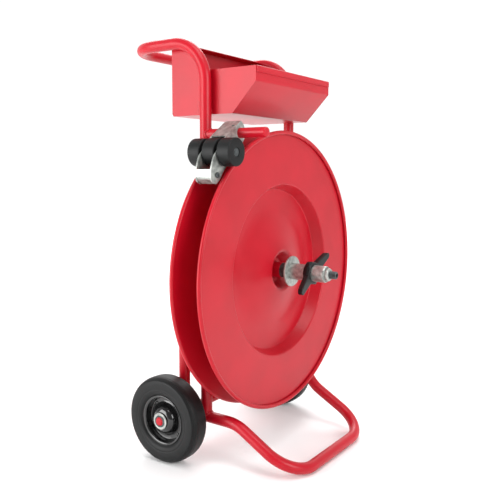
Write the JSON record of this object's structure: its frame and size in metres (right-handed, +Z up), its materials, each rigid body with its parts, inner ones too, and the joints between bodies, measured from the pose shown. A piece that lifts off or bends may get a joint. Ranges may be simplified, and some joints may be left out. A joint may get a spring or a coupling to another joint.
{
  "type": "reel cart",
  "caption": "Two-wheeled tube-frame cart with a flanged reel on a clamped spindle, a roller brake lever, an open tool box and a push handle.",
  "frame": {"origin": "on the floor, midway between the uprights and straight below the spindle, in the plane of the two uprights", "axes": "+Z up; -Y to the front, along the spindle towards the wing nut; +X along the wheel axle, to the right of someone who faces +Y from the front, so the brake lever is on the -X side"},
  "size_m": [0.6599, 0.502, 0.962],
  "materials": {
    "red_paint": "glossy powder coat",
    "zinc_plate": "bright zinc plate",
    "black_rubber": "matt rubber",
    "black_plastic": "moulded plastic",
    "black_enamel": "gloss black enamel",
    "dark_steel": "dark oiled steel",
    "grey_plastic": "plain nylon bush"
  },
  "bodies": {
    "frame": {"main_tube": "red_paint", "left_foot_rail": "red_paint", "right_foot_rail": "red_paint", "foot_bar": "red_paint", "left_strut": "red_paint", "right_strut": "red_paint", "tube_end_plugs": "black_plastic", "spindle_beam": "red_paint", "spindle_bar": "zinc_plate", "spindle_rear_nut": "zinc_plate", "rear_thrust_washer": "zinc_plate", "front_thrust_washer": "zinc_plate", "spindle_ring_nut": "zinc_plate", "wheel_axle": "red_paint", "wheel_spacers": "zinc_plate", "wheel_washers": "zinc_plate", "wheel_snap_rings": "dark_steel", "box_tray": "red_paint", "box_left_side": "red_paint", "box_right_side": "red_paint", "box_welds": "red_paint", "lever_bar": "red_paint", "lever_bar_cap": "red_paint"},
    "left_wheel": {"left_tyre": "black_rubber", "left_outer_rim": "black_enamel", "left_inner_rim": "black_enamel", "left_rim_rivets": "black_enamel", "left_wheel_hub": "black_enamel", "left_wheel_bushes": "grey_plastic"},
    "right_wheel": {"right_tyre": "black_rubber", "right_outer_rim": "black_enamel", "right_inner_rim": "black_enamel", "right_rim_rivets": "black_enamel", "right_wheel_hub": "black_enamel", "right_wheel_bushes": "grey_plastic"},
    "lever": {"lever_bracket": "zinc_plate", "lever_sleeve": "zinc_plate", "strap_guide": "zinc_plate", "guide_pin": "dark_steel", "roller_axle": "dark_steel", "roller_snap_rings": "dark_steel"},
    "front_roller": {"front_roller": "black_rubber"},
    "middle_roller": {"middle_roller": "black_rubber"},
    "rear_roller": {"rear_roller": "black_rubber"},
    "reel": {"hub_tube": "dark_steel", "hub_bushes": "grey_plastic", "rear_flange": "red_paint", "rear_flange_collar": "red_paint"},
    "front_disc": {"front_flange": "red_paint", "front_flange_collar": "red_paint"},
    "clamp_carrier": {"clamp_washer": "zinc_plate"},
    "clamp_nut": {"clamp_sleeve": "zinc_plate", "wing_nut": "black_plastic"}
  },
  "joints": [
    {"name": "left_wheel_spin", "type": "hinge", "parent": "frame", "child": "left_wheel", "pos_m": [-0.236, 0.066, 0.1], "axis": [1, 0, 0], "continuous": true},
    {"name": "right_wheel_spin", "type": "hinge", "parent": "frame", "child": "right_wheel", "pos_m": [0.236, 0.066, 0.1], "axis": [1, 0, 0], "continuous": true},
    {"name": "reel_spin", "type": "hinge", "parent": "frame", "child": "reel", "pos_m": [0, -0.0645, 0.43], "axis": [0, -1, 0], "continuous": true},
    {"name": "front_disc_slide", "type": "slide", "parent": "reel", "child": "front_disc", "axis": [0, -1, 0], "range_m": [0, 0.008]},
    {"name": "clamp_slide", "type": "slide", "parent": "reel", "child": "clamp_carrier", "axis": [0, -1, 0], "range_m": [-0.015, 0.015]},
    {"name": "clamp_nut_turn", "type": "hinge", "parent": "clamp_carrier", "child": "clamp_nut", "pos_m": [0, -0.174, 0.43], "axis": [0, -1, 0], "range_deg": [-900, 900]},
    {"name": "brake_lever_swing", "type": "hinge", "parent": "frame", "child": "lever", "pos_m": [-0.175, -0.08, 0.746], "axis": [0, 1, 0], "range_deg": [0, 40]},
    {"name": "front_roller_spin", "type": "hinge", "parent": "lever", "child": "front_roller", "pos_m": [-0.233, -0.073, 0.70417], "axis": [0, 1, 0], "continuous": true},
    {"name": "middle_roller_spin", "type": "hinge", "parent": "lever", "child": "middle_roller", "pos_m": [-0.233, -0.073, 0.70417], "axis": [0, 1, 0], "continuous": true},
    {"name": "rear_roller_spin", "type": "hinge", "parent": "lever", "child": "rear_roller", "pos_m": [-0.233, -0.073, 0.70417], "axis": [0, 1, 0], "continuous": true}
  ],
  "couplings": [
    {"joint": "clamp_slide", "follows": "clamp_nut_turn", "m_per_rad": 0.00095493}
  ]
}
